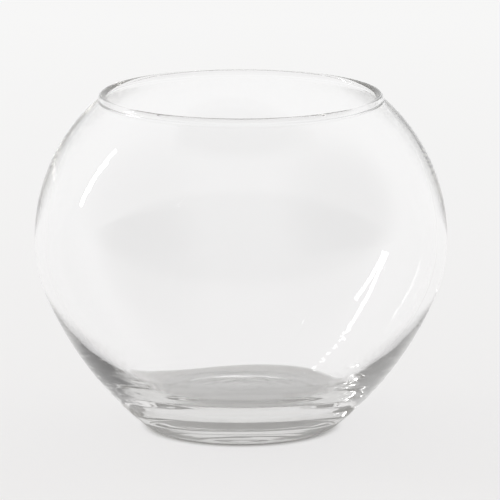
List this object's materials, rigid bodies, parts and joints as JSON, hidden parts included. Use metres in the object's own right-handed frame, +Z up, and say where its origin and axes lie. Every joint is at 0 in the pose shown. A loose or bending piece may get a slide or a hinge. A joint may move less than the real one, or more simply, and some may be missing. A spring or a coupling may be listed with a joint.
{
  "type": "rose bowl vase",
  "caption": "Round clear glass rose bowl vase with a wide belly, a turned-in shoulder, a plain rounded lip and a heavy flat-standing base, for cut or floating flowers.",
  "frame": {"origin": "centre of the standing ring, on the surface that the bowl stands on", "axes": "+Z up along the axis of the bowl, towards the mouth; the bowl is round, so X and Y are free"},
  "size_m": [0.16, 0.16, 0.131],
  "materials": {
    "clear_glass": "clear colourless soda-lime glass, smooth fire-polished surface"
  },
  "bodies": {
    "root": {"glass_bowl": "clear_glass"}
  },
  "joints": []
}
